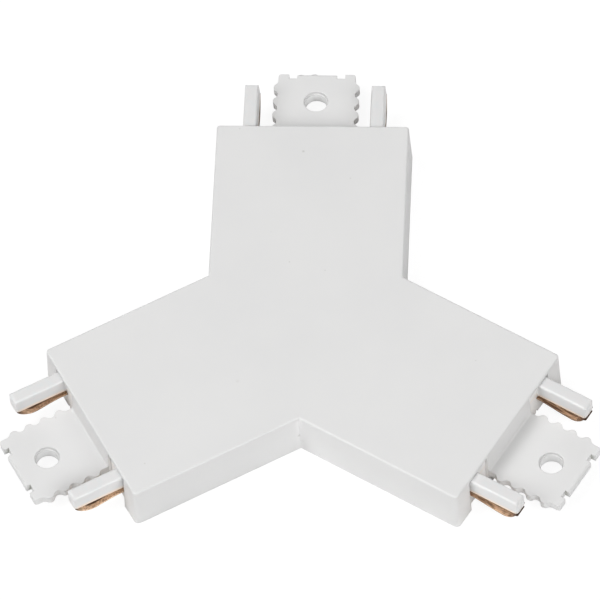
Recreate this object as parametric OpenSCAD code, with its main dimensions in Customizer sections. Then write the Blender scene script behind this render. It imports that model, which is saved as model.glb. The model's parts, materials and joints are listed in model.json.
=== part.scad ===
// Y-connector for a surface lighting track: a moulded housing with three arms at 120 degrees.
// Each arm plugs into the end of a track with a toothed tab and two sprung contacts.
// Origin: centre of the three arms, on the plane of the rim that the part lies on. +Z is up.
// Arm 1 points along +Y, arm 2 to the lower left, arm 3 to the lower right.

/* [Housing] */
// Width of each arm, the same as the track
arm_w = 35; // [32:0.5:40]
// Reach of each arm from the centre to its end face
arm_l = 42.9; // [40:0.1:56]
// Height of the housing from the rim to the top face
body_h = 9.2; // [9:0.1:12]
// How far the sides lean out from the top edge down to the rim
draft = 0.35; // [0.05:0.05:0.5]
// Thickness of the side and end walls
wall_t = 1.8; // [1.4:0.1:2.4]
// Thickness of the top wall
top_t = 1.5; // [1.2:0.1:1.8]
// Rounding along the top edges
edge_r = 0.35; // [0.2:0.05:0.6]
// Rounding of the upright corners at the arm ends
corner_r = 0.6; // [0.4:0.1:1.2]
// Thickness of the ribs inside the housing
rib_t = 1.1; // [0.8:0.1:1.4]

/* [Toothed tabs] */
// Length of a tab beyond the end face
tab_l = 14.8; // [12:0.2:20]
// Width of a tab across the tips of its lobes
tab_w = 15.8; // [14:0.2:17]
// Thickness of a tab
tab_t = 1.6; // [1:0.1:1.8]
// Height of the underside of a tab above the rim
tab_z = 2.7; // [2.2:0.05:3]
// Spacing of the lobes along a tab
lobe_pitch = 3; // [2.4:0.1:4]
// Depth of the waves between the lobes
lobe_depth = 0.8; // [0.4:0.1:1]
// Distance from the end face to the first lobe
lobe_start = 2.8; // [2.6:0.1:4]
// Diameter of the screw hole at its narrow lower part
hole_d = 4.1; // [3.2:0.1:4.4]
// Width of the step between the wide upper part of the screw hole and the lower part
hole_step = 0.15; // [0.05:0.05:0.3]
// Depth of that step below the top of the tab
hole_step_z = 0.8; // [0.4:0.1:1]
// Distance from the end face to the screw hole
hole_x = 8.8; // [7:0.05:9.5]
// Wall of the boss round the screw hole
boss_wall = 1.5; // [1:0.1:1.8]
// How far the boss and its ribs hang below the tab
boss_drop = 1.2; // [0.6:0.1:1.8]
// Distance of the two end notches from the middle of the tab
notch_s = 4.4; // [3.5:0.05:5]
// Width of an end notch
notch_w = 1.5; // [0.8:0.1:2]
// Depth of an end notch
notch_l = 0.9; // [0.4:0.1:1.4]
// Bevel on the upper front edge of the tab
lead_in = 0.3; // [0.1:0.05:0.5]
// Fillet between the tab and the end wall
root_r = 0.4; // [0.2:0.05:0.8]
// Height of the moulding gate stub left on the tab of arm 1
gate_h = 0.3; // [0.1:0.05:0.5]

/* [Contact fingers] */
// Distance of each prong from the middle of the arm
prong_s = 11.6; // [11:0.05:12]
// Length of a prong beyond the end face
prong_l = 9.7; // [8:0.1:12]
// Height of the underside of a prong above the rim
prong_z = 5.65; // [5.4:0.05:5.8]
// Height of a prong
prong_h = 2.8; // [2:0.05:2.9]
// Width of a prong at its top
prong_top_w = 2.4; // [1.6:0.1:2.6]
// Width of a prong at its underside
prong_foot_w = 2.9; // [2.6:0.1:3.2]
// Rounding along the upper edges of a prong
prong_r = 0.35; // [0.15:0.05:0.6]
// Rounding of the upright corners and the upper edge at the tip of a prong
tip_r = 0.6; // [0.2:0.05:0.9]
// Length of the block that holds a prong inside the housing
block_l = 8.5; // [6:0.1:10]
// How far the nose of a finger sits back from the end face
nose_recess = 0.4; // [0.2:0.05:0.8]
// Rim left beside the foot of a prong in the end wall cut-out
nose_rim = 0.28; // [0.2:0.02:0.6]

/* [Contact strips] */
// Width of a contact strip
strip_w = 2.9; // [2.4:0.1:3.1]
// Thickness of a contact strip
strip_t = 0.35; // [0.25:0.05:0.5]
// Height of the underside of a strip where it leaves the housing
strip_z = 4.15; // [3.6:0.05:4.3]
// How far a strip bows down below that height
bow_drop = 0.75; // [0.4:0.05:1.1]
// Distance from the end face to the lowest point of the bow
bow_x = 6.2; // [5.2:0.1:7]
// How much further down the two strips of the third arm were bent in use
bend_drop = 0.25; // [0:0.05:0.4]
// How much further out the bow of these two strips lies
bend_x = 0.6; // [0:0.1:0.8]

/* [Copper plates] */
// Thickness of the two copper plates
bus_t = 0.5; // [0.3:0.05:0.6]
// Width of the arms of a copper plate
bus_w = 3.2; // [2.6:0.1:3.6]
// How much wider the ring of a copper plate is than its arms, on each side
ring_lip = 0.3; // [0.2:0.05:0.5]
// Thickness of the insulator between the plates
ins_t = 1.5; // [1.2:0.1:1.7]
// How far the insulator stands out past the rings
ins_margin = 1.8; // [1.2:0.1:2.2]
// Length of the step down in the arms of the upper plate
step_l = 2.5; // [1.5:0.1:4]

/* [Fasteners] */
// Shank diameter of a contact rivet
rivet_d = 1.6; // [1.2:0.1:2]
// Head diameter of a contact rivet
rivet_head_d = 2.8; // [2.4:0.1:3]
// Head height of a contact rivet
rivet_head_h = 0.5; // [0.3:0.05:0.6]
// Distance from the pocket rib to a rivet
rivet_set = 3; // [2.4:0.1:4]
// How far strip and plate run past the rivet before their round ends
lap = 0.8; // [0.4:0.1:1.2]
// Distance of the base screws from the centre
screw_x = 24.5; // [21:0.5:26]
// Shank diameter of a base screw
screw_d = 2.6; // [2:0.1:3]
// Head diameter of a base screw
screw_head_d = 5.2; // [4.4:0.1:5.6]
// Length of a base screw
screw_l = 6; // [5:0.1:6.2]

/* [Base plate] */
// Thickness of the base plate
base_t = 1.6; // [1.4:0.1:1.8]
// Wall of the screw bosses in the housing
screw_wall = 1.9; // [1.4:0.1:2.4]

/* [Clearances] */
// Gap round pieces that are slid or dropped into place
fit = 0.1; // [0.05:0.01:0.15]
// Gap round shanks in their holes
hole_fit = 0.05; // [0.03:0.01:0.1]

/* [Hidden] */
$fn = 48;

// Colours
WHITE = [0.9, 0.9, 0.89];
GLOSS_WHITE = [0.93, 0.94, 0.93];
COPPER = [0.72, 0.4, 0.2];
STEEL = [0.75, 0.75, 0.77];

// A cut runs this far past the face that it opens
over = 1;
// Each arm starts this far behind the centre, so that the three overlap
arm_back = 5;
// Thin slice that stands for one level of the moulded outline
slice = 0.01;
// Steps in the rounding of the top edge
edge_steps = 4;

// Inner faces of the housing
cavity_hw = arm_w / 2 - wall_t;
wall_x = arm_l - wall_t;
ceiling_z = body_h - top_t;

// Pockets for the fingers, measured from the middle of the arm
valley_hw = tab_w / 2 - lobe_depth;
cut_in = valley_hw + fit;
cut_out = prong_s + prong_foot_w / 2 + nose_rim;
pocket_x = wall_x - block_l;
prong_top_z = prong_z + prong_h;
cut_z = prong_top_z + fit;
nose_x = arm_l - nose_recess;
prong_end_x = arm_l + prong_l;
// Two small key notches at the bottom of each nose, measured from its inner edge
key_s = [1.3, 2.5];
key_w = 0.55;
key_h = 1;

// Tab
tab_top_z = tab_z + tab_t;
tab_end_x = arm_l + tab_l;
tab_corner_r = 0.5;
hole_cx = arm_l + hole_x;
hole_upper_d = hole_d + 2 * hole_step;
hole_chamfer = 0.1;
boss_d = hole_d + 2 * boss_wall;
tab_rib_s = 5.2;
tab_rib_end = 2.6;
lobe_end = 1.2;
gate_s = [0.5, 2.9];
gate_share = [1, 0.5];
gate_r = 0.8;
lobe_n = 1 + floor((tab_l - lobe_start - lobe_pitch / 2 - lobe_end) / lobe_pitch);
lobe_r = (pow(lobe_pitch / 2, 2) + pow(lobe_depth, 2)) / (4 * lobe_depth);

// Form of a leaf: its level start, and how far its curves run before they turn
leaf_flat = 0.8;
leaf_ease = 2.5;
bent_ease = 0.5;
bent_arm = 3;
leaf_turn = 1;
tip_rise = 1;

// Levels of the copper parts: lower plate, strips, upper plate
lower_z = strip_z - bus_t;
upper_low_z = strip_z + strip_t;
ring_r = prong_s;
ring_hw = bus_w / 2 + ring_lip;
upper_z = strip_z + ins_t;
ins_r = ring_r + ring_hw + ins_margin;
hub_r = ring_r - ring_hw - fit;
hub_wall = 1.3;
spigot_r = 3.5;
step_x = sqrt(pow(ins_r + fit, 2) - pow(ring_r - bus_w / 2, 2)) + fit;
rivet_x = pocket_x - rib_t - rivet_set;
rib_ring_w = 1.2;

// Screws
boss_r = screw_d / 2 + screw_wall;
head_h = (screw_head_d - screw_d) / 2;
head_sink = 0.1;
screw_top_z = head_sink + screw_l;
screw_relief = 0.4;
screw_tip_l = 1.2;
screw_point_d = screw_d / 3;
// Cross recess in a screw head
cross_l = 2.6;
cross_w = 0.6;
cross_h = 0.9;

// Arms and sides
ARMS = [1, 2, 3];
SIDES = [1, -1];
LEFT = 1;
RIGHT = -1;

// Helpers

// Places its children on one arm: X runs outwards, Y to the left seen from the centre
module on_arm(arm) {
    rotate([0, 0, 120 * arm - 30]) children();
}

// A block between two limits along each axis
module block(x, y, z) {
    translate([x[0], y[0], z[0]]) cube([x[1] - x[0], y[1] - y[0], z[1] - z[0]]);
}

// The same block on one side of the arm, with its limits measured from the middle outwards
module side_block(side, x, y, z) {
    block(x, side > 0 ? y : [-y[1], -y[0]], z);
}

// Extrudes a profile drawn along the arm and upwards, centred across the arm
module across(w) {
    rotate([90, 0, 0]) linear_extrude(w, center = true) children();
}

// Extrudes a section drawn across the arm and upwards, from one distance to another
module along(x0, x1) {
    translate([x0, 0, 0]) rotate([90, 0, 90]) linear_extrude(x1 - x0) children();
}

// A rectangle with round corners
module round_rect(x0, x1, hw, r) {
    translate([x0, -hw + r]) square([x1 - x0, 2 * (hw - r)]);
    translate([x0 + r, -hw]) square([x1 - x0 - 2 * r, 2 * hw]);
    for (x = [x0 + r, x1 - r], y = [-hw + r, hw - r]) translate([x, y]) circle(r);
}

function unit(v) = v / norm(v);

// Points of the arc of radius r that rounds the corner at p between a and b
function corner_arc(a, p, b, r, n = 6) =
    let (u = unit(a - p), v = unit(b - p), half = acos(u * v) / 2)
    let (c = p + unit(u + v) * r / sin(half), s = p + u * r / tan(half) - c)
    let (e = p + v * r / tan(half) - c, a0 = atan2(s[1], s[0]), a1 = atan2(e[1], e[0]))
    let (sweep = (a1 - a0 + 540) % 360 - 180)
    [for (i = [0:n]) c + r * [cos(a0 + sweep * i / n), sin(a0 + sweep * i / n)]];

// A point on the cubic curve through four control points
function curve(p, t) =
    pow(1 - t, 3) * p[0] + 3 * t * pow(1 - t, 2) * p[1] + 3 * t * t * (1 - t) * p[2] + pow(t, 3) * p[3];

// Housing

// One arm of the outer form, leaning out towards the rim and rounded along its top edge
module arm_form(arm) {
    hull() on_arm(arm) {
        arm_slice(0, -draft);
        for (i = [0:edge_steps]) {
            a = 90 * i / edge_steps;
            arm_slice(body_h - slice - edge_r * (1 - sin(a)), edge_r * (1 - cos(a)));
        }
    }
}

// One level of the outer form, set in from the arm's nominal outline
module arm_slice(z, inset) {
    translate([0, 0, z])
        linear_extrude(slice)
            for (x = [corner_r - arm_back, arm_l - corner_r], side = SIDES)
                translate([x, side * (arm_w / 2 - corner_r)]) circle(corner_r - inset, $fn = 32);
}

// Plan of three straight arms that reach to x, with the given half width
module arms_plan(x, hw) {
    for (arm = ARMS) on_arm(arm) translate([-arm_back, -hw]) square([x + arm_back, 2 * hw]);
}

// Cut-outs in one end wall that the finger noses fill
module nose_cuts() {
    for (side = SIDES)
        side_block(side, [wall_x - slice, arm_l + over], [cut_in, cut_out], [-over, cut_z]);
}

// Outline of a tab: a plate with a wavy edge on both sides and two notches at its end
module tab_outline() {
    wave_hw = tab_w / 2 - lobe_depth / 2;
    wave_x0 = arm_l + lobe_start - lobe_pitch / 2;
    difference() {
        union() {
            round_rect(wall_x, tab_end_x, valley_hw, tab_corner_r);
            translate([wave_x0, -wave_hw]) square([lobe_n * lobe_pitch, 2 * wave_hw]);
            for (i = [0:lobe_n - 1], side = SIDES)
                translate([wave_x0 + (i + 0.5) * lobe_pitch, side * (tab_w / 2 - lobe_r)]) circle(lobe_r);
        }
        for (i = [0:lobe_n], side = SIDES)
            translate([wave_x0 + i * lobe_pitch, side * (valley_hw + lobe_r)]) circle(lobe_r);
        for (side = SIDES)
            translate([tab_end_x - notch_l, side * notch_s - notch_w / 2]) square([over + notch_l, notch_w]);
    }
}

// A toothed tab with its screw boss, its ribs and the fillet at its root
module tab() {
    difference() {
        union() {
            translate([0, 0, tab_z]) linear_extrude(tab_t) tab_outline();
            translate([hole_cx, 0, tab_z - boss_drop]) cylinder(d = boss_d, h = boss_drop + slice);
            for (side = SIDES)
                side_block(
                    side, [wall_x, tab_end_x - tab_rib_end],
                    [tab_rib_s - rib_t / 2, tab_rib_s + rib_t / 2], [tab_z - boss_drop, tab_z + slice]
                );
            block([wall_x, hole_cx], [-rib_t / 2, rib_t / 2], [tab_z - boss_drop, tab_z + slice]);
            across(2 * valley_hw) root_fillet();
        }
        translate([hole_cx, 0, 0]) tab_hole();
        across(2 * (notch_s - notch_w / 2)) front_bevel();
    }
}

// Screw hole of a tab, wider above a small step and bevelled at the top
module tab_hole() {
    translate([0, 0, tab_z - boss_drop - over]) cylinder(d = hole_d, h = boss_drop + tab_t + 2 * over);
    translate([0, 0, tab_top_z - hole_step_z]) cylinder(d = hole_upper_d, h = hole_step_z + over);
    translate([0, 0, tab_top_z - hole_chamfer])
        cylinder(d1 = hole_upper_d, d2 = hole_upper_d + 2 * hole_chamfer, h = hole_chamfer);
}

// Concave fillet where the tab runs into the end wall
module root_fillet() {
    root_x = arm_l + draft * (1 - tab_top_z / body_h);
    difference() {
        translate([wall_x, tab_top_z - tab_t / 2]) square([root_x + root_r - wall_x, tab_t / 2 + root_r]);
        translate([root_x + root_r, tab_top_z + root_r]) circle(root_r);
    }
}

// Bevel along the front edge of the tab, between the notches
module front_bevel() {
    polygon([
        [tab_end_x - lead_in, tab_top_z], [tab_end_x, tab_top_z - lead_in],
        [tab_end_x + over, tab_top_z - lead_in], [tab_end_x + over, tab_top_z + over],
        [tab_end_x - lead_in, tab_top_z + over]
    ]);
}

// Stubs left by the moulding gate on the edge of one tab
module gate_stubs() {
    for (i = [0:len(gate_s) - 1])
        translate([tab_end_x + gate_h * gate_share[i] - gate_r, gate_s[i], tab_z])
            cylinder(r = gate_r, h = tab_t - lead_in);
}

// Ribs that box in the two fingers of one arm
module pocket_ribs() {
    notch_hw = strip_w / 2 + 2 * fit;
    for (side = SIDES) {
        side_block(side, [pocket_x - rib_t, wall_x], [cut_in - rib_t, cut_in], [base_t, ceiling_z]);
        difference() {
            side_block(
                side, [pocket_x - rib_t, pocket_x], [cut_in - rib_t, cavity_hw + slice], [base_t, ceiling_z]
            );
            side_block(
                side, [pocket_x - rib_t - over, pocket_x + over],
                [prong_s - notch_hw, prong_s + notch_hw], [base_t - over, upper_low_z + fit]
            );
        }
    }
}

// Boss for one base screw, with a web to the end wall that stiffens the top of the arm
module screw_boss() {
    web_z = (base_t + ceiling_z) / 2;
    difference() {
        union() {
            translate([screw_x, 0, base_t]) cylinder(r = boss_r, h = ceiling_z - base_t + slice);
            block([screw_x, wall_x], [-rib_t / 2, rib_t / 2], [web_z, ceiling_z + slice]);
        }
        translate([screw_x, 0, base_t - over])
            cylinder(r = screw_d / 2 + hole_fit, h = screw_top_z + screw_relief - base_t + over);
    }
}

// Round rib that holds the upper ring down, and the spigot that centres the insulator
module centre_ribs() {
    difference() {
        translate([0, 0, upper_z + bus_t])
            cylinder(r = ring_r + rib_ring_w / 2, h = ceiling_z - upper_z - bus_t + slice);
        translate([0, 0, upper_z + bus_t - over])
            cylinder(r = ring_r - rib_ring_w / 2, h = ceiling_z - upper_z + over + 2 * slice);
    }
    translate([0, 0, lower_z]) cylinder(r = spigot_r, h = ceiling_z - lower_z + slice);
}

module cover() {
    color(WHITE) {
        difference() {
            for (arm = ARMS) arm_form(arm);
            translate([0, 0, -over]) linear_extrude(ceiling_z + over) arms_plan(wall_x, cavity_hw);
            for (arm = ARMS) on_arm(arm) nose_cuts();
        }
        for (arm = ARMS) on_arm(arm) {
            tab();
            pocket_ribs();
            screw_boss();
        }
        on_arm(1) gate_stubs();
        centre_ribs();
    }
}

// Base plate

// Countersunk hole for one base screw
module screw_hole() {
    translate([screw_x, 0, -over]) cylinder(r = screw_d / 2 + hole_fit, h = base_t + 2 * over);
    translate([screw_x, 0, head_sink])
        cylinder(r1 = screw_head_d / 2 + hole_fit, r2 = screw_d / 2 + hole_fit, h = head_h);
    translate([screw_x, 0, -over])
        cylinder(r = screw_head_d / 2 + hole_fit, h = over + head_sink + slice / 2);
}

// Rests on one arm of the plate: two fill the rib notches under the strips, two carry the copper arms
module plate_rests() {
    rest_x = (step_x + step_l + rivet_x) / 2;
    rest_hw = strip_w / 2;
    for (side = SIDES) {
        side_block(
            side, [pocket_x - rib_t, pocket_x],
            [prong_s - rest_hw, prong_s + rest_hw], [base_t - slice, strip_z]
        );
        side_block(
            side, [rest_x - rib_t / 2, rest_x + rib_t / 2],
            [prong_s - rest_hw, prong_s + rest_hw], [base_t - slice, side == LEFT ? upper_low_z : lower_z]
        );
    }
}

module base_plate() {
    color(WHITE) {
        difference() {
            linear_extrude(base_t) arms_plan(wall_x - fit, cavity_hw - fit);
            for (arm = ARMS) on_arm(arm) screw_hole();
        }
        for (arm = ARMS) on_arm(arm) plate_rests();
        difference() {
            translate([0, 0, base_t - slice])
                cylinder(r = ring_r + rib_ring_w / 2, h = lower_z - base_t + slice);
            translate([0, 0, base_t - over])
                cylinder(r = ring_r - rib_ring_w / 2, h = lower_z - base_t + 2 * over);
        }
    }
}

// Contact fingers

// Section of a prong: narrower at the top, with its upper edges rounded
module prong_section() {
    foot = prong_foot_w / 2;
    top = prong_top_w / 2;
    corners = [[foot, prong_z], [top, prong_top_z], [-top, prong_top_z], [-foot, prong_z]];
    polygon(concat(
        [corners[0]],
        corner_arc(corners[0], corners[1], corners[2], prong_r),
        corner_arc(corners[1], corners[2], corners[3], prong_r),
        [corners[3]]
    ));
}

// The prong that stands out of the end wall, with a rounded tip
module prong() {
    difference() {
        intersection() {
            along(nose_x - slice, prong_end_x) prong_section();
            translate([0, 0, prong_z - over])
                linear_extrude(prong_h + 2 * over)
                    round_rect(wall_x, prong_end_x, prong_foot_w / 2, tip_r);
        }
        across(2 * prong_foot_w) tip_cut();
    }
}

// What the rounded upper edge takes off the tip of a prong, seen from the side
module tip_cut() {
    tip = [prong_end_x, prong_top_z];
    arc = corner_arc(tip - [over, 0], tip, tip - [0, over], tip_r);
    polygon(concat(
        arc,
        [tip + [over, -tip_r], tip + [over, over], tip + [-tip_r, over]]
    ));
}

// A finger: prong, nose in the cut-out and block in the pocket, with a slot for the strip
module finger(side) {
    block_out = cavity_hw - fit;
    nose = [cut_in + fit, cut_out - fit];
    color(GLOSS_WHITE) difference() {
        union() {
            translate([0, side * prong_s, 0]) prong();
            side_block(side, [wall_x + fit, nose_x], nose, [head_sink, prong_top_z]);
            side_block(side, [pocket_x + fit, nose_x], nose, [base_t + slice, ceiling_z - fit]);
            side_block(
                side, [pocket_x + fit, wall_x - fit], [nose[0], block_out], [base_t + slice, ceiling_z - fit]
            );
        }
        side_block(
            side, [pocket_x, nose_x + over],
            [prong_s - strip_w / 2 - fit, prong_s + strip_w / 2 + fit], [strip_z, strip_z + strip_t + fit]
        );
        for (s = key_s)
            side_block(side, [wall_x, nose_x + over], [nose[0] + s, nose[0] + s + key_w], [0, key_h]);
    }
}

// Contact strips

// Middle line of the leaf: out of the nose, down to the bow and up to the tip of the prong. A bent leaf
// falls away from the nose sooner and bows deeper.
function leaf_line(bent, n = 12) =
    let (z = strip_z + strip_t / 2, low = z - bow_drop - (bent ? bend_drop : 0))
    let (start = nose_x + leaf_flat, bow = arm_l + bow_x + (bent ? bend_x : 0))
    let (tip = prong_end_x - strip_t / 2, ease = bent ? bent_ease : leaf_ease)
    let (down = [[start, z], [start + ease, z], [bow - leaf_ease / 2, low], [bow, low]])
    let (up = [
        [bow, low], [bow + leaf_turn, low], [tip - leaf_turn / 2, low + tip_rise], [tip, prong_z + strip_t]
    ])
    concat([for (i = [0:n]) curve(down, i / n)], [for (i = [1:n]) curve(up, i / n)]);

// Outline of a line that is given a thickness
function thicken(line, t) =
    let (last = len(line) - 1)
    let (side = [for (i = [0:last])
        let (d = unit(line[min(i + 1, last)] - line[max(i - 1, 0)])) [-d[1], d[0]] * t / 2])
    concat([for (i = [0:last]) line[i] + side[i]], [for (i = [last:-1:0]) line[i] - side[i]]);

// A contact strip: flat tail with a rivet hole, and the bowed leaf under the prong
module contact(side, bent = false) {
    tail_x = rivet_x - lap;
    color(COPPER) translate([0, side * prong_s, 0]) difference() {
        union() {
            block([tail_x, nose_x + leaf_flat], [-strip_w / 2, strip_w / 2], [strip_z, strip_z + strip_t]);
            translate([tail_x, 0, strip_z]) cylinder(d = strip_w, h = strip_t);
            intersection() {
                across(strip_w) polygon(thicken(leaf_line(bent), strip_t));
                block([nose_x, prong_end_x + over], [-strip_w, strip_w], [0, prong_z]);
            }
        }
        translate([rivet_x, 0, strip_z - over])
            cylinder(r = rivet_d / 2 + hole_fit, h = strip_t + 2 * over);
    }
}

// Copper plates

// A ring with three arms that leave it along the lanes of one side's contacts. The arms are a hair
// thinner than the ring where they cross it.
module bus(side, ring_z, arm_z) {
    end_x = rivet_x + lap;
    low = ring_z + slice;
    high = ring_z + bus_t - slice;
    profile = [
        [0, low], [step_x, low], [step_x + step_l, arm_z], [end_x, arm_z],
        [end_x, arm_z + bus_t], [step_x + step_l, arm_z + bus_t], [step_x, high], [0, high]
    ];
    color(COPPER) difference() {
        union() {
            translate([0, 0, ring_z]) linear_extrude(bus_t) difference() {
                circle(ring_r + ring_hw);
                circle(ring_r - ring_hw);
            }
            for (arm = ARMS) on_arm(arm) translate([0, side * prong_s, 0]) {
                across(bus_w) polygon(profile);
                translate([end_x, 0, arm_z]) cylinder(d = bus_w, h = bus_t);
            }
        }
        for (arm = ARMS) on_arm(arm)
            translate([rivet_x, side * prong_s, arm_z - over])
                cylinder(r = rivet_d / 2 + hole_fit, h = bus_t + 2 * over);
    }
}

module bus_insulator() {
    color(GLOSS_WHITE) difference() {
        union() {
            translate([0, 0, strip_z]) cylinder(r = ins_r, h = ins_t);
            translate([0, 0, lower_z]) cylinder(r = hub_r, h = 2 * bus_t + ins_t);
        }
        translate([0, 0, lower_z - over]) cylinder(r = spigot_r + fit, h = ins_t + 2 * bus_t + 2 * over);
        for (z = [lower_z - over, upper_z])
            translate([0, 0, z]) cylinder(r = hub_r - hub_wall, h = bus_t + over);
    }
}

// Fasteners

// A rivet with two low round heads that grip a strip and a plate from z0 upwards
module rivet(z0) {
    grip = strip_t + bus_t;
    head_r = rivet_head_d / 2;
    crown_r = (pow(head_r, 2) + pow(rivet_head_h, 2)) / (2 * rivet_head_h);
    translate([0, 0, z0]) {
        cylinder(d = rivet_d, h = grip);
        translate([0, 0, grip]) rivet_head(head_r, crown_r);
        mirror([0, 0, 1]) rivet_head(head_r, crown_r);
    }
}

// The cap of a sphere, cut off at the height of the head
module rivet_head(head_r, crown_r) {
    rotate_extrude() intersection() {
        translate([0, rivet_head_h - crown_r]) circle(crown_r, $fn = 96);
        square([head_r, rivet_head_h]);
    }
}

module contact_rivets() {
    color(COPPER) for (arm = ARMS) on_arm(arm) {
        translate([rivet_x, LEFT * prong_s, 0]) rivet(strip_z);
        translate([rivet_x, RIGHT * prong_s, 0]) rivet(lower_z);
    }
}

// A countersunk screw, head down, with a cross recess
module base_screw() {
    shank_l = screw_l - screw_tip_l;
    difference() {
        union() {
            translate([0, 0, head_sink]) cylinder(r1 = screw_head_d / 2, r2 = screw_d / 2, h = head_h);
            translate([0, 0, head_sink]) cylinder(d = screw_d, h = shank_l);
            translate([0, 0, head_sink + shank_l])
                cylinder(d1 = screw_d, d2 = screw_point_d, h = screw_tip_l);
        }
        for (turn = [0, 90]) rotate([0, 0, turn])
            translate([-cross_l / 2, -cross_w / 2, head_sink - slice]) cube([cross_l, cross_w, cross_h]);
    }
}

module base_screws() {
    color(STEEL) for (arm = ARMS) on_arm(arm) translate([screw_x, 0, 0]) base_screw();
}

cover();
base_plate();
for (arm = ARMS, side = SIDES) {
    suffix = str(arm, side == LEFT ? "_left" : "_right");
    on_arm(arm) finger(side);
    on_arm(arm) contact(side, arm == bent_arm);
}
bus(LEFT, upper_z, upper_low_z);  // upper_bus
bus(RIGHT, lower_z, lower_z);  // lower_bus
bus_insulator();
contact_rivets();
base_screws();
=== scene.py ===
# %% [markdown]
# # A three-armed connector for lighting track
# This white moulded Y joins three surface lighting tracks under a ceiling. Each arm ends in a toothed
# tab with a screw hole and in two glossy prongs, and a sprung copper strip bows out under each prong.
# The solids come from a CAD model. It is loaded first and stays fixed, so this lesson is about what
# turns exact solids into a believable product picture: the camera, the light, and finishes with the
# small unevenness that real plastic and copper have.

import json
import math

import bmesh
import bpy
from mathutils import Euler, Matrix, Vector


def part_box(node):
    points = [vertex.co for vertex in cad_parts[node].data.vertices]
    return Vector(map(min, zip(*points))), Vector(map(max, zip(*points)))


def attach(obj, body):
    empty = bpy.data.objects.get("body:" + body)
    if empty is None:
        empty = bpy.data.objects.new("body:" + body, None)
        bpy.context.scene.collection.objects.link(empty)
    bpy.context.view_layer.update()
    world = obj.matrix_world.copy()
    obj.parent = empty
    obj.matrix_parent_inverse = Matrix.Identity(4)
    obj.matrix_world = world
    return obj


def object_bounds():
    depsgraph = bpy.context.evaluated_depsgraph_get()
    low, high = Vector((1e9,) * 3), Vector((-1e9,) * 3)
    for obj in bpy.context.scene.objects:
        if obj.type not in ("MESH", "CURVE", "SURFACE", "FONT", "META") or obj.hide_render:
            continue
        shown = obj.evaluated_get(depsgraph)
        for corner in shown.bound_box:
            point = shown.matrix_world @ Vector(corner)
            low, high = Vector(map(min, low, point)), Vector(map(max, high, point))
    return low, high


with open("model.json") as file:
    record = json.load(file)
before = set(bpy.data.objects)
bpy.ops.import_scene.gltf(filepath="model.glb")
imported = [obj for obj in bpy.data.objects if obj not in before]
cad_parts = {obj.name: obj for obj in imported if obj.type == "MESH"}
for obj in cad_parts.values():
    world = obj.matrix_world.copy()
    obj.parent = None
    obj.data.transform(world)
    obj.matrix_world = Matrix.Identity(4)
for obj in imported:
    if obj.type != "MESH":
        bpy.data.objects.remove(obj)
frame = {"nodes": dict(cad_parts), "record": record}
solids = frame["nodes"]
cad_low, cad_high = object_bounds()
print(len(solids), "solids, box in mm:", [round(1000 * (h - l), 2) for l, h in zip(cad_low, cad_high)])

# %% [markdown]
# ## Sizes from the frame
# Many finishes below change at one place of the part: at the end face of an arm, round a screw hole, at
# the tip of a prong. Those places could be typed in as numbers, but then the finishes would stay behind
# when the model changes. So they are read from the frame: from the mounts, which state the end face and
# the hole of each arm, and from the boxes of the solids. The three arms are alike, so the first one,
# which lies along +Y, gives the sizes of all three.

# %% Sizes from the frame
# A millimetre, in Blender's metres.
MM = 0.001
ARM_BEARINGS = (90, 210, 330)
ARM_1, ARM_2, ARM_3 = ARM_BEARINGS

mounts = {mount["name"]: mount for mount in frame["record"]["mounts"]}
hole = mounts["tab_hole_1"]
hole_radius = hole["dims"]["r_mm"] * MM
hole_reach, hole_middle = hole["pos_m"][1:]
hole_low = hole_middle - hole["dims"]["length_mm"] / 2 * MM
hole_step = hole_middle + hole["dims"]["length_mm"] / 2 * MM
end_face = mounts["track_end_1"]["pos_m"][1]
prong_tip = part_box("finger_1_left")[1].y
top_face = cad_high[2]


def on_arm(bearing, along, across=0.0, height=0.0):
    """A point of the part, from its distances along an arm, across it and above the table."""
    c, s = math.cos(math.radians(bearing)), math.sin(math.radians(bearing))
    return (along * c - across * s, along * s + across * c, height)


tab_holes = [on_arm(bearing, hole_reach) for bearing in ARM_BEARINGS]
print("end face at", round(end_face / MM, 2), "mm, hole at", round(hole_reach / MM, 2),
      "mm, prong tip at", round(prong_tip / MM, 2), "mm, top face at", round(top_face / MM, 2), "mm")

# %% [markdown]
# ## Camera
# The photograph was taken from well above with a long lens: parallel edges stay almost parallel. The
# camera could be placed by eye, but the straight edges and the six prong tips fix it far better. A
# least-squares fit of those points gave the place, the turn and the focal length used here.

# %% Place the camera
SENSOR_WIDTH = 36.0
FOCAL_LENGTH = 427.46
CAMERA_PLACE = (0.0760890, -0.6949499, 1.0726933)
CAMERA_TURN = (33.41598, 2.59350, 2.34589)
CLIP_RANGE = (0.1, 10.0)


def place_camera():
    """A long lens at the photograph's viewing angle. Its lens and place are in millimetres and metres."""
    data = bpy.data.cameras.new("product_camera")
    data.sensor_width = SENSOR_WIDTH
    data.lens = FOCAL_LENGTH
    data.clip_start, data.clip_end = CLIP_RANGE
    camera = bpy.data.objects.new("product_camera", data)
    camera.location = CAMERA_PLACE
    camera.rotation_euler = Euler([math.radians(a) for a in CAMERA_TURN])
    bpy.context.scene.collection.objects.link(camera)
    bpy.context.scene.camera = camera
    return camera


camera = place_camera()
print("camera", round(camera.location.length, 3), "m from the centre of the part")

# %% [markdown]
# ## Tools for the finishes
# Every finish here is one Principled shader with small patterns fed into it. A few helpers keep the
# recipes short. The first ones start a finish, set what is the same all over, add a node and plug it in.
# The solids sit at the origin, so object coordinates are metres in the part's own frame and a pattern's
# scale can be read as a real size.

# %% Helpers that add nodes
def start_finish(name, plain_values):
    """A new material with one Principled shader. plain_values are the same all over the surface."""
    finish = bpy.data.materials.new(name)
    finish.use_nodes = True
    shader = finish.node_tree.nodes["Principled BSDF"]
    for socket, value in plain_values.items():
        shader.inputs[socket].default_value = value
    return finish, shader


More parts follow.
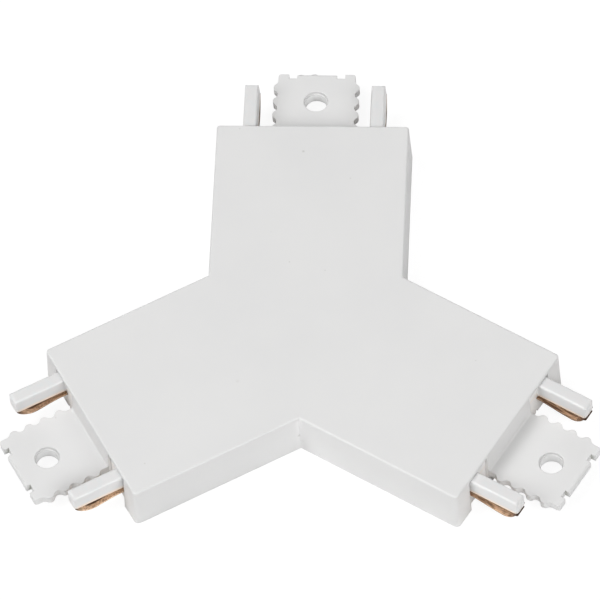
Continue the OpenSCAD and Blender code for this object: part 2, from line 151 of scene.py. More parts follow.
def plug(finish, source, socket):
    """Gives a socket its value: a plain one, or another node's output that is plugged in."""
    if isinstance(source, bpy.types.NodeSocket):
        finish.node_tree.links.new(source, socket)
    else:
        socket.default_value = source


def add_node(finish, kind, inputs=None, **settings):
    """Adds a shader node. An input is a plain value, or another node's output."""
    made = finish.node_tree.nodes.new("ShaderNode" + kind)
    for setting, value in settings.items():
        setattr(made, setting, value)
    for socket, source in (inputs or {}).items():
        plug(finish, source, made.inputs[socket])
    return made


def object_coords(finish):
    """The place of each point on the part."""
    return add_node(finish, "TexCoord").outputs["Object"]


print("node helpers ready")

# %% [markdown]
# ## Patterns and tones
# The next helpers make a noise pattern, map a part of its range, do arithmetic with patterns, and mix
# tones. A finish is then built like a glaze: a base tone, and layers over it that each show somewhere.
# The Mix node holds a set of sockets for each kind of data, so its colour sockets are found by their
# place in the list and not by their names.

# %% Helpers for patterns and tones
MIX_SHARE, MIX_FIRST, MIX_SECOND, MIX_RESULT = 0, 6, 7, 2


def pattern(finish, coords, size_mm, detail=2.0, rough=0.5, stretch=None):
    """A noise pattern with features of about size_mm. stretch gives other scales along X, Y and Z."""
    if stretch:
        coords = add_node(finish, "Mapping", {"Vector": coords, "Scale": stretch}).outputs["Vector"]
    settings = {"Vector": coords, "Scale": 1000.0 / size_mm, "Detail": detail, "Roughness": rough}
    return add_node(finish, "TexNoise", settings).outputs["Fac"]


def spread(finish, source, low, high, to_low=0.0, to_high=1.0):
    """Maps a range of a pattern onto another range and stops at its ends."""
    values = {"Value": source, "From Min": low, "From Max": high, "To Min": to_low, "To Max": to_high}
    return add_node(finish, "MapRange", values).outputs["Result"]


def combine(finish, operation, first, *others):
    """Several patterns or numbers put together by one kind of arithmetic, from left to right."""
    for other in others:
        first = add_node(finish, "Math", {0: first, 1: other}, operation=operation).outputs["Value"]
    return first


def product(finish, *patterns):
    """Several patterns multiplied with each other."""
    return combine(finish, "MULTIPLY", *patterns)


def without_sign(finish, source):
    """The size of a value, whichever sign it has."""
    return add_node(finish, "Math", {0: source}, operation="ABSOLUTE").outputs["Value"]


def blend_colours(finish, share, first, second):
    """A mix of two colours, each given as a value or as a node's output."""
    mixed = add_node(finish, "Mix", data_type="RGBA")
    for socket, source in ((MIX_SHARE, share), (MIX_FIRST, first), (MIX_SECOND, second)):
        plug(finish, source, mixed.inputs[socket])
    return mixed.outputs[MIX_RESULT]


def lay_over(finish, tone, *layers):
    """Mixes other tones over one, in turn. Each layer says where it shows, from 0 to 1, and its tone."""
    for share, other in layers:
        tone = blend_colours(finish, share, tone, other)
    return tone


def grey(value, warmth=0.0):
    """A near-white plastic colour. Warmth takes a little blue away."""
    return (value, value - warmth / 3, value - warmth, 1)


print("a warm grey:", grey(0.75, 0.03))

# %% [markdown]
# ## Places on the part
# Some changes of tone belong to a place: the root of a prong, the rim, the wall of a hole. Such a place
# could be painted on a texture. Here it is worked out from coordinates, so that it stays sharp at any
# distance. One helper tells how far out a point lies on its arm, one tells its height, and one tells how
# far it is, in plan, from the nearest place of a list. The last one finds shut-in places by themselves.

# %% Helpers for places
# Farther than any point of the part, in metres.
FAR_AWAY = 1.0
SHADE_SAMPLES = 8


def reach_of_arm(finish, coords):
    """How far a point lies from the centre, measured along the arm that it belongs to, in metres."""
    reach = -FAR_AWAY
    for bearing in ARM_BEARINGS:
        way = on_arm(bearing, 1)
        along = add_node(finish, "VectorMath", {0: coords, 1: way}, operation="DOT_PRODUCT").outputs["Value"]
        reach = combine(finish, "MAXIMUM", reach, along)
    return reach


def height_of(finish, coords):
    """How high a point lies above the table, in metres."""
    return add_node(finish, "SeparateXYZ", {"Vector": coords}).outputs["Z"]


def distance_to(finish, coords, place):
    """How far a point lies from a place, in metres."""
    return add_node(finish, "VectorMath", {0: coords, 1: place}, operation="DISTANCE").outputs["Value"]


def distance_to_nearest(finish, coords, places):
    """How far a point lies, in plan, from the nearest of some places, in metres."""
    flat = add_node(finish, "VectorMath", {0: coords, 1: (1, 1, 0)}, operation="MULTIPLY").outputs["Vector"]
    away = [distance_to(finish, flat, place) for place in places]
    return combine(finish, "MINIMUM", FAR_AWAY, *away)


def open_air(finish, distance):
    """How open the space in front of a point is: 1 is open, 0 is shut in."""
    return add_node(finish, "AmbientOcclusion", {"Distance": distance}, samples=SHADE_SAMPLES).outputs["AO"]


print("first hole at", [round(c / MM, 2) for c in tab_holes[0]], "mm")

# %% [markdown]
# ## Roughness and bump
# All four finishes end in the same way: their roughness follows a pattern, and a fine bump lies on top
# of softened edges. Moulded and cut edges are never quite sharp. They could be rounded in the mesh, but
# the CAD solids stay as they are, so a Bevel node rounds the normals along each edge instead.

# %% Helpers for roughness and bump
# The middle and nearly the whole of a noise pattern's range.
MIDDLE_RANGE = (0.35, 0.65)
WIDE_RANGE = (0.3, 0.7)
BEVEL_SAMPLES = 6


def roughen(finish, shader, source, low, high):
    """Roughness that follows a pattern."""
    plug(finish, spread(finish, source, *WIDE_RANGE, low, high), shader.inputs["Roughness"])


def emboss(finish, shader, source, strength, depth, softness):
    """A fine bump of a given depth, on normals that are rounded along the edges."""
    edges = add_node(finish, "Bevel", {"Radius": softness}, samples=BEVEL_SAMPLES).outputs["Normal"]
    settings = {"Strength": strength, "Distance": depth, "Height": source, "Normal": edges}
    plug(finish, add_node(finish, "Bump", settings).outputs["Normal"], shader.inputs["Normal"])


print("each edge is rounded with", BEVEL_SAMPLES, "samples")

# %% [markdown]
# ## Bench and light
# The part lies on white paper under a few soft boxes. The paper throws light back at the walls and at
# the copper, and it lies in shade right beside and under the part. That shade matters: it makes the
# low edges dark, as in the photograph. The photograph itself was cut out on clean white, without the
# shade on the paper. So the paper has two looks, mixed by the kind of ray: the part's own rays find
# real paper, and rays from the camera find a clean bright sheet. A glowing plane alone could do the
# second job, but it would light every low edge from below and flatten the teeth and the gaps. The paper
# lies a hair below the part, because two faces in one plane would flicker.

# %% Lay the paper
TABLE_SIZE = 3.0
PAPER_LEVEL = -0.02 * MM
PAPER_WHITE = 0.8
PAPER_GLOW = 0.062
CLEAN_WHITE = 0.15
CLEAN_GLOW = 0.9


def paper_look(finish, name, white, glow):
    """A plain matt white that may glow."""
    return add_node(finish, "BsdfPrincipled", {
        "Base Color": (white, white, white, 1), "Roughness": 0.9, "Specular IOR Level": 0.1,
        "Emission Color": (1, 1, 1, 1), "Emission Strength": glow}, name=name)


def lay_paper():
    """A plain white floor. The camera sees it clean, the part sees it with its shade."""
    half = TABLE_SIZE / 2
    mesh = bpy.data.meshes.new("paper")
    corners = [(x, y, PAPER_LEVEL) for x, y in ((-half, -half), (half, -half), (half, half), (-half, half))]
    mesh.from_pydata(corners, [], [(0, 1, 2, 3)])
    paper = bpy.data.objects.new("paper", mesh)
    bpy.context.scene.collection.objects.link(paper)
    finish = bpy.data.materials.new("paper")
    finish.use_nodes = True
    finish.node_tree.nodes.remove(finish.node_tree.nodes["Principled BSDF"])
    real = paper_look(finish, "real_paper", PAPER_WHITE, PAPER_GLOW)
    clean = paper_look(finish, "clean_sheet", CLEAN_WHITE, CLEAN_GLOW)
    seen = add_node(finish, "LightPath").outputs["Is Camera Ray"]
    both = add_node(finish, "MixShader", {0: seen, 1: real.outputs[0], 2: clean.outputs[0]})
    plug(finish, both.outputs[0], finish.node_tree.nodes["Material Output"].inputs["Surface"])
    mesh.materials.append(finish)
    return paper


paper = lay_paper()
print(paper.name, TABLE_SIZE, "m wide")

# %% [markdown]
# ## Lamps
# The part was lit softly from several sides: the walls on the left are light, those on the right are
# darker, and the edges carry thin bright lines. The lamps could be set by eye, one after another. It was
# quicker to render the part under one lamp at a time, for lamps all round a dome, and to ask by least
# squares how much of each adds up to the tones of the photograph. Light adds up, so each share is
# turned straight into watts. Five lamps came out of it, and an even white room fills in the rest.

# %% Hang the lamps
ROOM_LIGHT = 0.06
BOX_DISTANCE = 1.6
BOX_SIZE = 0.72
SOFT_BOXES = [
    # name, bearing and height angle on the dome in degrees, power in watts
    ("left_high_soft_box", 180, 65, 8.85),
    ("left_front_soft_box", 210, 40, 10.05),
    ("front_soft_box", 300, 40, 7.9),
    ("right_soft_box", 330, 40, 7.45),
    ("back_low_soft_box", 90, 18, 4.5),
]


def soft_box(name, bearing, height_angle, watts):
    """A square area lamp on a dome round the part, aimed at its centre. Bearing 0 is +X and 90 is +Y."""
    data = bpy.data.lights.new(name, "AREA")
    data.shape = "SQUARE"
    data.size = BOX_SIZE
    data.energy = watts
    lamp = bpy.data.objects.new(name, data)
    b, h = math.radians(bearing), math.radians(height_angle)
    lamp.location = BOX_DISTANCE * Vector((math.cos(b) * math.cos(h), math.sin(b) * math.cos(h), math.sin(h)))
    lamp.rotation_euler = (-lamp.location).to_track_quat("-Z", "Y").to_euler()
    bpy.context.scene.collection.objects.link(lamp)
    return lamp


def light_room():
    """An even grey-white room, so that gloss has something plain to mirror."""
    world = bpy.data.worlds.new("studio_room")
    world.use_nodes = True
    world.node_tree.nodes["Background"].inputs["Color"].default_value = (1, 1, 1, 1)
    world.node_tree.nodes["Background"].inputs["Strength"].default_value = ROOM_LIGHT
    bpy.context.scene.world = world


light_room()
lamps = [soft_box(*box) for box in SOFT_BOXES]
bpy.context.scene.view_settings.view_transform = "Standard"
print("lamps:", [lamp.name for lamp in lamps])

# %% [markdown]
# ## Dust and marks
# Handling leaves a few dust specks on the satin plastic, and four marks are large enough to be seen one
# by one. The specks could be little meshes. As spots in the colour they cost nothing and keep their size
# from every side: one spot in some of the cells of a Voronoi pattern. The four marks have their places
# in a list.

# %% Dust and marks
# The spacing is in millimetres, the size is a share of it, and the core is a share of the size.
DUST_SPACING = 3.4
DUST_SIZE = 0.055
DUST_SHARE = 0.16
DUST_CORE = 0.55
DUST_CHOICE = 0.9
DUST_TONE = (0.66, 0.655, 0.64, 1)
MARK_CORE = 1 / 3
MARK_TONE = (0.56, 0.555, 0.54, 1)
MARKS = [
    # x, y, z and radius in millimetres, and how strongly the mark shows
    (-1.5, 37.2, 9.2, 0.32, 0.75), (-11.2, -12.5, 9.2, 0.45, 0.2),
    (-0.25, -20.3, 4.0, 0.48, 0.8), (0.6, -20.5, 2.6, 0.45, 0.4),
]


def specks(finish, coords):
    """Small round spots, in the share of the cells that is wanted. Their size is a share of the cell."""
    cells = add_node(finish, "TexVoronoi", {"Vector": coords, "Scale": 1000.0 / DUST_SPACING})
    near = spread(finish, cells.outputs["Distance"], DUST_SIZE, DUST_SIZE * DUST_CORE)
    cell_value = add_node(finish, "SeparateColor", {"Color": cells.outputs["Color"]}).outputs["Red"]
    chosen = spread(finish, cell_value, DUST_SHARE, DUST_SHARE * DUST_CHOICE)
    return product(finish, near, chosen)


def mark(finish, coords, x, y, z, radius, strength):
    """A soft round spot at one place of the part."""
    away = distance_to(finish, coords, (x * MM, y * MM, z * MM))
    return product(finish, spread(finish, away, radius * MM, radius * MARK_CORE * MM), strength)


print(len(MARKS), "marks, dust about every", DUST_SPACING, "mm")

# %% [markdown]
# ## Where satin white is lighter or darker
# White plastic passes light on, so the inner corners between the arms, the walls of the screw holes
# and the edges of the recesses round the prongs look lighter than a plain white makes them. A painted
# lighter tint stands in for that light, and in the inner corners it also lifts the shade the lamps leave. The
# valleys
# between the teeth do the opposite: they lie close to the prongs, in shade, and a darker tone of painted
# shade is mixed in where ambient occlusion finds them shut in. More
# subsurface light could make the light places too, but it would soften the teeth along with them.

# %% Where satin white is lighter or darker
CORNER_DISTANCE = 20.2 * MM
CORNER_REACH = 2.4 * MM
CORNER_STEEPNESS = 4.0
CORNER_HEIGHTS = (top_face - 0.1 * MM, top_face - 1.0 * MM)
HOLE_WALL = (hole_radius + 0.25 * MM, hole_radius + 0.17 * MM)
HOLE_TINT = (0.3, 0.8)
HOLE_TINT_TOP = hole_step - 0.2 * MM
HOLE_TINT_END = hole_step - 0.05 * MM
NOSE_EDGE_REACH = end_face - 0.2 * MM
NOSE_EDGE_OFFSET = 7.2 * MM
NOSE_EDGE_WIDTH = (0.3 * MM, 0.24 * MM)
NOSE_EDGE_HEIGHTS = (top_face - 0.2 * MM, top_face - 0.6 * MM)
CREVICE_REACH = 3.5 * MM
CREVICE_SHADE = (0.66, 0.32)
CREVICE_START = (end_face + 1.1 * MM, end_face + 2.1 * MM)
CREVICE_OFF_HOLE = (hole_radius + 0.35 * MM, hole_radius + 0.95 * MM)

# An inner corner lies halfway between two arms, 60 degrees from each.
inner_corners = [on_arm(bearing + 60, CORNER_DISTANCE) for bearing in ARM_BEARINGS]
nose_edges = [
    on_arm(bearing, NOSE_EDGE_REACH, side * NOSE_EDGE_OFFSET)
    for bearing in ARM_BEARINGS for side in (-1, 1)
]


def in_inner_corner(finish, coords, height):
    """How near a point is to one of the three inner corners between the arms: 0 is away, 1 is in it."""
    near = spread(finish, distance_to_nearest(finish, coords, inner_corners), CORNER_REACH, 0)
    steep = combine(finish, "POWER", near, CORNER_STEEPNESS)
    return product(finish, steep, spread(finish, height, *CORNER_HEIGHTS))


def on_hole_wall(finish, from_hole, height):
    """The lower part of a screw hole's wall, more of it higher up and none above the step. It gets painted
    light.
    """
    return product(
        finish, spread(finish, from_hole, *HOLE_WALL),
        spread(finish, height, hole_low, HOLE_TINT_TOP, *HOLE_TINT),
        spread(finish, height, HOLE_TINT_END, HOLE_TINT_TOP))


def on_nose_edge(finish, coords, height):
    """The upright edge where the end wall drops back to a prong's nose."""
    away = distance_to_nearest(finish, coords, nose_edges)
    return product(finish, spread(finish, away, *NOSE_EDGE_WIDTH), spread(finish, height, *NOSE_EDGE_HEIGHTS))


def in_crevice(finish, from_hole, reach):
    """The shut-in places of a tab, such as the valleys between its teeth, away from the hole. They get
    painted shade.
    """
    return product(
        finish, spread(finish, reach, *CREVICE_START), spread(finish, from_hole, *CREVICE_OFF_HOLE),
        spread(finish, open_air(finish, CREVICE_REACH), *CREVICE_SHADE))


print("first inner corner at", [round(c / MM, 2) for c in inner_corners[0]], "mm")

# %% [markdown]
# ## Satin white plastic
# The housing is moulded in a satin white plastic. Its mould was spark-eroded, which leaves a very fine
# grain, and dust leaves tiny dents. The grain could be modelled, but its features are only a third of
# a millimetre across, and bump shows them as well. The edges look rounded by 0.14 mm, by twice as much
# along the top rim of each arm's sides, by more at the recesses round the prongs, and most in the
# inner corners, where the real moulding has a radius.

# %% Satin white plastic
GRAIN_SIZE = 0.35
CLOUD_SIZE = 14
COOLER_WHITE = grey(0.748, 0.003)
WARMER_WHITE = grey(0.764, 0.006)
# A painted lighter tint, for the inner corners, the hole walls and the nose edges.
PAINTED_LIGHT_TONE = (0.98, 0.98, 0.978, 1)
CORNER_SHARE = 0.85
# Painted shade for the valleys between the teeth.
CREVICE_PAINTED_SHADE = (0.38, 0.385, 0.34, 1)
EDGE_SOFTNESS = 0.14 * MM
RIM_SOFTNESS = 0.3 * MM
CORNER_SOFTNESS = 0.9 * MM
NOSE_EDGE_SOFTNESS = 0.5 * MM
RIM_HEIGHTS = (top_face - 0.8 * MM, top_face - 0.2 * MM)
RIM_END = (end_face - 0.2 * MM, end_face - 0.6 * MM)
SATIN_ROUGHNESS = (0.42, 0.56)
# The strength and the depth of a bump.
GRAIN_BUMP = (0.35, 0.02 * MM)


def satin_softness(finish, height, reach, corner, nose_edge):
    """How far the edges are rounded: a little all over, more at the rim, the corners and the noses."""
    rim = product(finish, spread(finish, height, *RIM_HEIGHTS), spread(finish, reach, *RIM_END))
    at_rim = spread(finish, rim, 0, 1, EDGE_SOFTNESS, RIM_SOFTNESS)
    at_corner = product(finish, corner, CORNER_SOFTNESS)
    at_nose = product(finish, nose_edge, NOSE_EDGE_SOFTNESS)
    return combine(finish, "MAXIMUM", at_rim, at_corner, at_nose)


def make_satin_white():
    """The finish of the cover and the base plate."""
    finish, shader = start_finish("satin_white_plastic", {
        "IOR": 1.5, "Specular IOR Level": 0.5, "Subsurface Weight": 0.08,
        "Subsurface Scale": 0.6 * MM, "Subsurface Radius": (0.95, 1.0, 0.95),
    })
    coords = object_coords(finish)
    height, reach = height_of(finish, coords), reach_of_arm(finish, coords)
    from_hole = distance_to_nearest(finish, coords, tab_holes)
    corner = in_inner_corner(finish, coords, height)
    nose_edge = on_nose_edge(finish, coords, height)
    grain = pattern(finish, coords, GRAIN_SIZE, rough=0.6)
    clouds = spread(finish, pattern(finish, coords, CLOUD_SIZE, detail=3), *MIDDLE_RANGE)
    dust = specks(finish, coords)
    marks = [(mark(finish, coords, *numbers), MARK_TONE) for numbers in MARKS]
    # Painted light and shade: a lighter tone in the inner corners, on the hole walls and at the nose edges,
    # and a darker tone in the valleys between the teeth.
    tone = lay_over(
        finish, COOLER_WHITE, (clouds, WARMER_WHITE), (product(finish, corner, CORNER_SHARE), PAINTED_LIGHT_TONE),
        (on_hole_wall(finish, from_hole, height), PAINTED_LIGHT_TONE), (dust, DUST_TONE), *marks,
        (nose_edge, PAINTED_LIGHT_TONE), (in_crevice(finish, from_hole, reach), CREVICE_PAINTED_SHADE))
    plug(finish, tone, shader.inputs["Base Color"])
    roughen(finish, shader, grain, *SATIN_ROUGHNESS)
    dents = combine(finish, "SUBTRACT", grain, dust)
    emboss(finish, shader, dents, *GRAIN_BUMP, satin_softness(finish, height, reach, corner, nose_edge))
    return finish


satin_white = make_satin_white()
print("made", satin_white.name, "with", len(satin_white.node_tree.nodes), "nodes")

# %% [markdown]
# ## Glossy white plastic
# The prongs hold bare live copper, so they are moulded in a harder, glossier insulator. It lets a
# little light in: its edges glow and its shadows are softer than on the housing. Subsurface light
# gives that, and a low roughness gives the bright line along each rounded upper edge. The plastic is
# not one white. It has faint pearly patches about a millimetre across, some cool and some rosy. Right
# above the copper it takes up the orange light, and that light is painted into the colour as a thin
# peach line along the lower edge of each prong. That line is mixed in by height and by the distance
# along the arm. The nose, back in the end wall, is painted a shade lighter, as light comes through to it from
# both sides.

# %% Glossy white plastic
MILK_SIZE = 6
RIPPLE_SIZE = 2.2
PEARL_SIZE = 1.1
PRONG_UNDERSIDE = 5.65 * MM
LINE_TOP = PRONG_UNDERSIDE + 0.18 * MM
LINE_FADE = (LINE_TOP + 0.5 * MM, LINE_TOP)
LINE_BOTTOM = (PRONG_UNDERSIDE - 0.3 * MM, PRONG_UNDERSIDE)
LINE_ROOT = (end_face, end_face + 0.5 * MM)
LINE_TIP = (prong_tip - 0.1 * MM, prong_tip - 0.7 * MM)
LINE_REST = 0.3
LINE_REST_AT_TIP = 0.25
# Painted light: the nose is a shade lighter near the end face.
NOSE_LIGHT_SPAN = (end_face, end_face - 0.3 * MM)
NOSE_PAINTED_LIGHT = (0.95, 0.945, 0.935, 1)
COPPER_LIGHT_TONE = (1.0, 0.82, 0.67, 1)
CLEAR_WHITE = grey(0.762, 0.004)
MILKY_WHITE = grey(0.777, 0.002)
COOL_PEARL = (0.745, 0.767, 0.772, 1)
ROSY_PEARL = (0.78, 0.764, 0.764, 1)
COOL_FROM = (0.52, 0.64)
ROSY_FROM = (0.48, 0.36)
PEARL_STRENGTH = 0.5
PRONG_SOFTNESS = 0.4 * MM
LINE_SOFTNESS = 0.06 * MM
GLOSS_ROUGHNESS = (0.3, 0.4)
RIPPLE_BUMP = (0.2, 0.03 * MM)


def painted_copper_light_line(finish, height, reach):
    """The line of painted copper-coloured light along the lower edge of a prong. It fades upwards, at the
    root and at the tip.
    """
    return product(
        finish, spread(finish, height, *LINE_FADE), spread(finish, height, *LINE_BOTTOM, LINE_REST, 1),
        spread(finish, reach, *LINE_ROOT, LINE_REST, 1),
        spread(finish, reach, *LINE_TIP, LINE_REST_AT_TIP, 1))


def make_glossy_white():
    """The finish of the fingers and of the disc between the copper plates."""
    finish, shader = start_finish("glossy_white_plastic", {
        "IOR": 1.53, "Specular IOR Level": 0.6, "Subsurface Weight": 0.35,
        "Subsurface Scale": 1.1 * MM, "Subsurface Radius": (1.0, 0.97, 0.92),
    })
    coords = object_coords(finish)
    height, reach = height_of(finish, coords), reach_of_arm(finish, coords)
    milk = spread(finish, pattern(finish, coords, MILK_SIZE), *MIDDLE_RANGE)
    ripple = pattern(finish, coords, RIPPLE_SIZE, detail=1)
    pearl = pattern(finish, coords, PEARL_SIZE)
    # Painted light: a lighter nose, and a line of copper-coloured light above the copper.
    tone = lay_over(
        finish, CLEAR_WHITE, (milk, MILKY_WHITE),
        (spread(finish, pearl, *COOL_FROM, 0, PEARL_STRENGTH), COOL_PEARL),
        (spread(finish, pearl, *ROSY_FROM, 0, PEARL_STRENGTH), ROSY_PEARL),
        (spread(finish, reach, *NOSE_LIGHT_SPAN), NOSE_PAINTED_LIGHT), (painted_copper_light_line(finish, height, reach), COPPER_LIGHT_TONE))
    plug(finish, tone, shader.inputs["Base Color"])
    roughen(finish, shader, ripple, *GLOSS_ROUGHNESS)
    softness = spread(finish, height, *LINE_FADE, PRONG_SOFTNESS, LINE_SOFTNESS)
    emboss(finish, shader, ripple, *RIPPLE_BUMP, softness)
    return finish


glossy_white = make_glossy_white()
print("made", glossy_white.name, "with", len(glossy_white.node_tree.nodes), "nodes")

# %% [markdown]
# ## Tones of copper
# The contact strips are cut from rolled copper sheet that has dulled in the air: brown where the oxide
# is thick, orange where it was rubbed. No two strips look alike: they have dulled differently, and the
# light on them differs too, which is painted into how fresh each one is. On the first arm they are
# nearly brown, on the second one is bright and finely speckled, and on the third they are streaked
# along their length. Six separate materials could be mixed by hand, but one recipe with three numbers
# for each strip keeps them one metal: how fresh and how lit it is, how speckled and how streaked.

# %% Tones of copper
OLD_BROWN = (0.15, 0.118, 0.098)
DULL_COPPER = (0.58, 0.355, 0.22)
PALE_COPPER = (1.0, 0.76, 0.55)
DARK_OXIDE_AND_SHADE = (0.12, 0.07, 0.045)
DULL_UNTIL = 0.55
STRIP_LOOKS = {
    # strip: its arm, freshness and light, speckle and streak
    "contact_1_left": (ARM_1, 0.0, 0.15, 0.15),
    "contact_1_right": (ARM_1, 0.0, 0.15, 0.15),
    "contact_2_left": (ARM_2, 1.0, 0.5, 0.05),
    "contact_2_right": (ARM_2, 0.68, 0.5, 0.3),
    "contact_3_left": (ARM_3, 0.57, 0.3, 0.7),
    "contact_3_right": (ARM_3, 0.71, 0.3, 0.6),
}
PLATE_LOOK = (0, 0.6, 0.2, 0.2)


def between(first, second, share):
    """A colour on the way from one to another, with an alpha of 1."""
    return tuple(a + (b - a) * share for a, b in zip(first, second)) + (1,)


def dark_copper(share):
    """A tone between dark oxide and painted shade, at 0, and dull copper, at 1."""
    return between(DARK_OXIDE_AND_SHADE, DULL_COPPER, share)


def dull_copper(freshness_and_light):
    """The tone of the duller patches. It goes from old brown by way of dull copper to a paler one."""
    if freshness_and_light > DULL_UNTIL:
        return between(DULL_COPPER, PALE_COPPER, freshness_and_light - DULL_UNTIL)
    return between(OLD_BROWN, DULL_COPPER, freshness_and_light / DULL_UNTIL)


print("dull tones:", [[round(c, 2) for c in dull_copper(look[1])[:3]] for look in STRIP_LOOKS.values()])

# %% [markdown]
# ## Dark bands on the strips
# Along the bow, the middle of a strip lies in the shade of its prong, and that shade is painted on as a dark
# band. On the third arm a second painted dark line of shade runs near the edge. These bands could be left to
# chance, like the other streaks, but each one shows, so it gets its own place along and across the strip. The
# last stretch of each strip, at the tip, is darker as well.

# %% Dark bands on the strips
STRIP_OFFSET = 11.6 * MM
BAND_SOFTNESS = 0.08 * MM
BAND_FADE = 0.4 * MM
DARK_TIP_STRETCH = (prong_tip - 1.6 * MM, prong_tip - 0.32 * MM)
DARK_BANDS = {
    # strip: bands, each with its distance from the strip's middle, its half width, where it starts and
    # ends past the end face, all in millimetres, and its strength
    "contact_2_left": [(0.3, 0.44, 3.3, 7.3, 1.0)],
    "contact_2_right": [(0.3, 0.43, 3.3, 7.3, 0.9)],
    "contact_3_left": [(0.3, 0.36, 3.7, 5.1, 0.7), (1.25, 0.16, 1.3, 4.9, 0.75)],
    "contact_3_right": [(0.3, 0.36, 3.9, 5.7, 0.5), (1.12, 0.14, 1.3, 4.5, 0.6)],
}


def dark_band(finish, reach, off_middle, distance, half_width, starts, ends, strength):
    """A soft band of painted shade along a strip, on both sides of its middle."""
    away = without_sign(finish, combine(finish, "SUBTRACT", off_middle, distance * MM))
    width, start, end = half_width * MM, end_face + starts * MM, end_face + ends * MM
    return product(
        finish, spread(finish, away, width + BAND_SOFTNESS, width - BAND_SOFTNESS),
        spread(finish, reach, start - BAND_FADE, start + BAND_FADE),
        spread(finish, reach, end + BAND_FADE, end - BAND_FADE), strength)


def dark_layers(finish, along_strip, bands):
    """The painted shade bands of a strip and its darker stretch at the tip, as layers to lay over its tone.
    """
    place = add_node(finish, "SeparateXYZ", {"Vector": along_strip}).outputs
    reach, across = place["X"], without_sign(finish, place["Y"])
    off_middle = without_sign(finish, combine(finish, "SUBTRACT", across, STRIP_OFFSET))
    # Painted shade: the dark bands where a strip lies in the shade of its prong.
    shares = [dark_band(finish, reach, off_middle, *band) for band in bands]
    return [(share, dark_copper(0)) for share in shares + [spread(finish, reach, *DARK_TIP_STRETCH)]]


print(sum(len(bands) for bands in DARK_BANDS.values()), "dark bands on", len(DARK_BANDS), "strips")

# %% [markdown]
# ## Rolled copper
# Rolling leaves fine lines along the sheet, so that pattern is turned to the arm's direction and drawn
# out along it. A real strip could have its scratches modelled one by one. Noise with a long stretch is
# as good at this size. Over the dull and fresh patches lie dark and fresh grains, then dark and fresh
# rolling lines, and close under a prong, where the prong's shade falls, the copper is painted a little
# darker.

# %% Rolled copper
PATCH_SIZE = 1.3
GRAIN_OF_COPPER = 0.3
LINE_WIDTH = 0.32
LINE_STRETCH = (0.07, 1, 1)
PATCH_FROM = 0.62
PATCH_GAIN = 0.3
PATCH_EDGE = 0.25
DARK_GRAINS, FRESH_GRAINS = (0.5, 0.4), (0.54, 0.64)
DARK_LINES, FRESH_LINES = (0.53, 0.43), (0.56, 0.66)
UNDER_PRONG = 2.4 * MM
UNDER_PRONG_SHADE = (0.5, 0.22)
UNDER_PRONG_SHARE = 0.3
UNDER_PRONG_PAINTED_SHADE = dark_copper(0.2)
DARK_GRAIN_TONE = dark_copper(0.4)
DARK_LINE_TONE = dark_copper(0)
COPPER_ROUGHNESS = (0.55, 0.34)
COPPER_SOFTNESS = 0.06 * MM
LINE_BUMP = (0.4, 0.03 * MM)


def make_copper(name, bearing, freshness_and_light, speckle, streak, bands=()):
    """The finish of one strip, or of the plates inside."""
    finish, shader = start_finish(name, {
        "Metallic": 0.5, "Anisotropic": 0.3, "Specular Tint": (0.75, 0.55, 0.42, 1)})
    coords = object_coords(finish)
    turn = {"Vector": coords, "Rotation": (0, 0, -math.radians(bearing))}
    along_strip = add_node(finish, "Mapping", turn).outputs["Vector"]
    lines = pattern(finish, along_strip, LINE_WIDTH, detail=3, stretch=LINE_STRETCH)
    oxide = pattern(finish, coords, PATCH_SIZE, detail=4, rough=0.65)
    grains = pattern(finish, coords, GRAIN_OF_COPPER, rough=0.6)
    fresh = between(DULL_COPPER, PALE_COPPER, freshness_and_light)
    patch = PATCH_FROM - PATCH_GAIN * freshness_and_light
    # Painted shade: darker copper where ambient occlusion finds it shut in under a prong.
    painted_shade_under_prong = spread(finish, open_air(finish, UNDER_PRONG), *UNDER_PRONG_SHADE, 0, UNDER_PRONG_SHARE)
    tone = lay_over(
        finish, dull_copper(freshness_and_light), (spread(finish, oxide, patch, patch + PATCH_EDGE), fresh),
        (spread(finish, grains, *DARK_GRAINS, 0, speckle), DARK_GRAIN_TONE),
        (spread(finish, grains, *FRESH_GRAINS, 0, speckle), fresh),
        (spread(finish, lines, *DARK_LINES, 0, streak), DARK_LINE_TONE),
        (spread(finish, lines, *FRESH_LINES, 0, streak), fresh),
        (painted_shade_under_prong, UNDER_PRONG_PAINTED_SHADE), *dark_layers(finish, along_strip, bands))
    plug(finish, tone, shader.inputs["Base Color"])
    roughen(finish, shader, oxide, *COPPER_ROUGHNESS)
    emboss(finish, shader, lines, *LINE_BUMP, COPPER_SOFTNESS)
    return finish


strip_copper = {
    strip: make_copper("copper_of_" + strip, *look, DARK_BANDS.get(strip, ()))
    for strip, look in STRIP_LOOKS.items()
}
plate_copper = make_copper("copper_of_plates", *PLATE_LOOK)
print("made", [c.name for c in strip_copper.values()], plate_copper.name)

# %% [markdown]
# ## Ends of the strips
# On the third arm the strips are bent a little further than on the others, and the end of each one has
# slipped out past the tip of its prong. It shows as a thin dark line along the tip. A box would do for
# that line. A narrow tongue with a bent section, drawn from its middle line and given a thickness, also
# holds up when it is seen from the side.

# %% Ends of the strips
# Points of a tongue's middle line: how far short of the prong's tip and how high, in millimetres.
TONGUE_LINE = [(0.9, 4.46), (0.5, 4.54), (0.22, 4.68), (0.1, 4.95)]
TONGUE_THICKNESS = 0.26 * MM
TONGUE_WIDTH = 2.3 * MM
TONGUE_EDGE = 0.06 * MM


def thickened(line, thickness):
    """The closed outline of a middle line that is given a thickness."""
    upper, lower = [], []
    for i, (a, z) in enumerate(line):
        before, after = line[max(i - 1, 0)], line[min(i + 1, len(line) - 1)]
        way = (Vector(after) - Vector(before)).normalized() * thickness / 2
        upper.append((a - way.y, z + way.x))
        lower.append((a + way.y, z - way.x))
    return upper + lower[::-1]


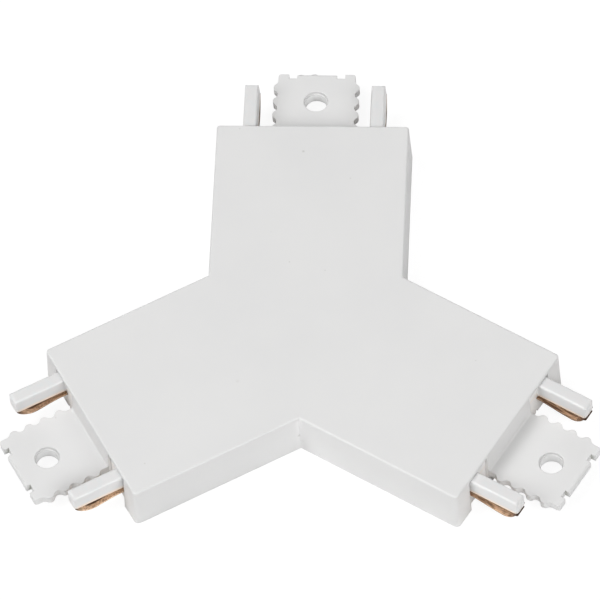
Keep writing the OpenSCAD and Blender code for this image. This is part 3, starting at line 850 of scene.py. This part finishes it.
def strip_tongue(strip, bearing, offset):
    """A bent tongue at the end of one strip."""
    middle_line = [(prong_tip - short * MM, height * MM) for short, height in TONGUE_LINE]
    outline = thickened(middle_line, TONGUE_THICKNESS)
    count = len(outline)
    points = [
        on_arm(bearing, a, offset + edge * TONGUE_WIDTH / 2, z) for edge in (-1, 1) for a, z in outline
    ]
    sides = [(i, (i + 1) % count, (i + 1) % count + count, i + count) for i in range(count)]
    ends = [tuple(range(count))[::-1], tuple(range(count, 2 * count))]
    mesh = bpy.data.meshes.new(strip + "_tongue")
    mesh.from_pydata(points, [], sides + ends)
    bm = bmesh.new()
    bm.from_mesh(mesh)
    bmesh.ops.recalc_face_normals(bm, faces=bm.faces)
    bmesh.ops.bevel(
        bm, geom=bm.edges[:], offset=TONGUE_EDGE, segments=2, affect="EDGES", clamp_overlap=True)
    bm.to_mesh(mesh)
    bm.free()
    mesh.materials.append(strip_copper[strip])
    tongue = bpy.data.objects.new(strip + "_tongue", mesh)
    bpy.context.scene.collection.objects.link(tongue)
    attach(tongue, "root")
    return tongue


tongues = [
    strip_tongue("contact_3_left", ARM_3, STRIP_OFFSET),
    strip_tongue("contact_3_right", ARM_3, -STRIP_OFFSET),
]
print("tongues:", [(tongue.name, len(tongue.data.polygons)) for tongue in tongues])

# %% [markdown]
# ## Zinc-plated steel
# The three screws under the base are cheap plated steel: bright, a little blotchy, with fine scratches.
# Nothing of them shows from above. They could stay plain, but someone may turn the part over, so they
# get blotches in tone and roughness and a bump of long thin scratches.

# %% Zinc-plated steel
DARKER_ZINC = (0.55, 0.56, 0.58, 1)
LIGHTER_ZINC = (0.72, 0.72, 0.71, 1)
BLOTCH_SIZE = 1.2
SCRATCH_WIDTH = 0.2
SCRATCH_STRETCH = (1, 0.15, 1)
ZINC_ROUGHNESS = (0.24, 0.4)
SCRATCH_BUMP = (0.3, 0.02 * MM)
SCREW_SOFTNESS = 0.08 * MM


def make_zinc_steel():
    """The finish of the base screws."""
    finish, shader = start_finish("zinc_plated_steel", {"Metallic": 1.0})
    coords = object_coords(finish)
    blotches = pattern(finish, coords, BLOTCH_SIZE, detail=3)
    scratches = pattern(finish, coords, SCRATCH_WIDTH, stretch=SCRATCH_STRETCH)
    tone = lay_over(finish, DARKER_ZINC, (spread(finish, blotches, *MIDDLE_RANGE), LIGHTER_ZINC))
    plug(finish, tone, shader.inputs["Base Color"])
    roughen(finish, shader, blotches, *ZINC_ROUGHNESS)
    emboss(finish, shader, scratches, *SCRATCH_BUMP, SCREW_SOFTNESS)
    return finish


zinc_steel = make_zinc_steel()
print("made", zinc_steel.name)

# %% [markdown]
# ## Dress the solids
# Each solid keeps its mesh and gets its finish by assigning the material to the slots that came with
# the model. Each strip takes the copper that was made for it. The finish could be chosen by the slot's
# name too, but one slot holds all the copper, and here every strip has its own.

# %% Dress the solids
def finish_of(name):
    """The finish that a solid of this name gets."""
    if name in strip_copper:
        return strip_copper[name]
    if name.startswith("finger_") or name == "bus_insulator":
        return glossy_white
    if name in ("upper_bus", "lower_bus", "contact_rivets"):
        return plate_copper
    if name == "base_screws":
        return zinc_steel
    return satin_white


def dress(solid, finish):
    """Puts one finish on a CAD solid."""
    slots = solid.data.materials
    if not slots:
        slots.append(finish)
    for i in range(len(slots)):
        slots[i] = finish


for name, solid in solids.items():
    dress(solid, finish_of(name))
print("dressed", len(solids), "solids")
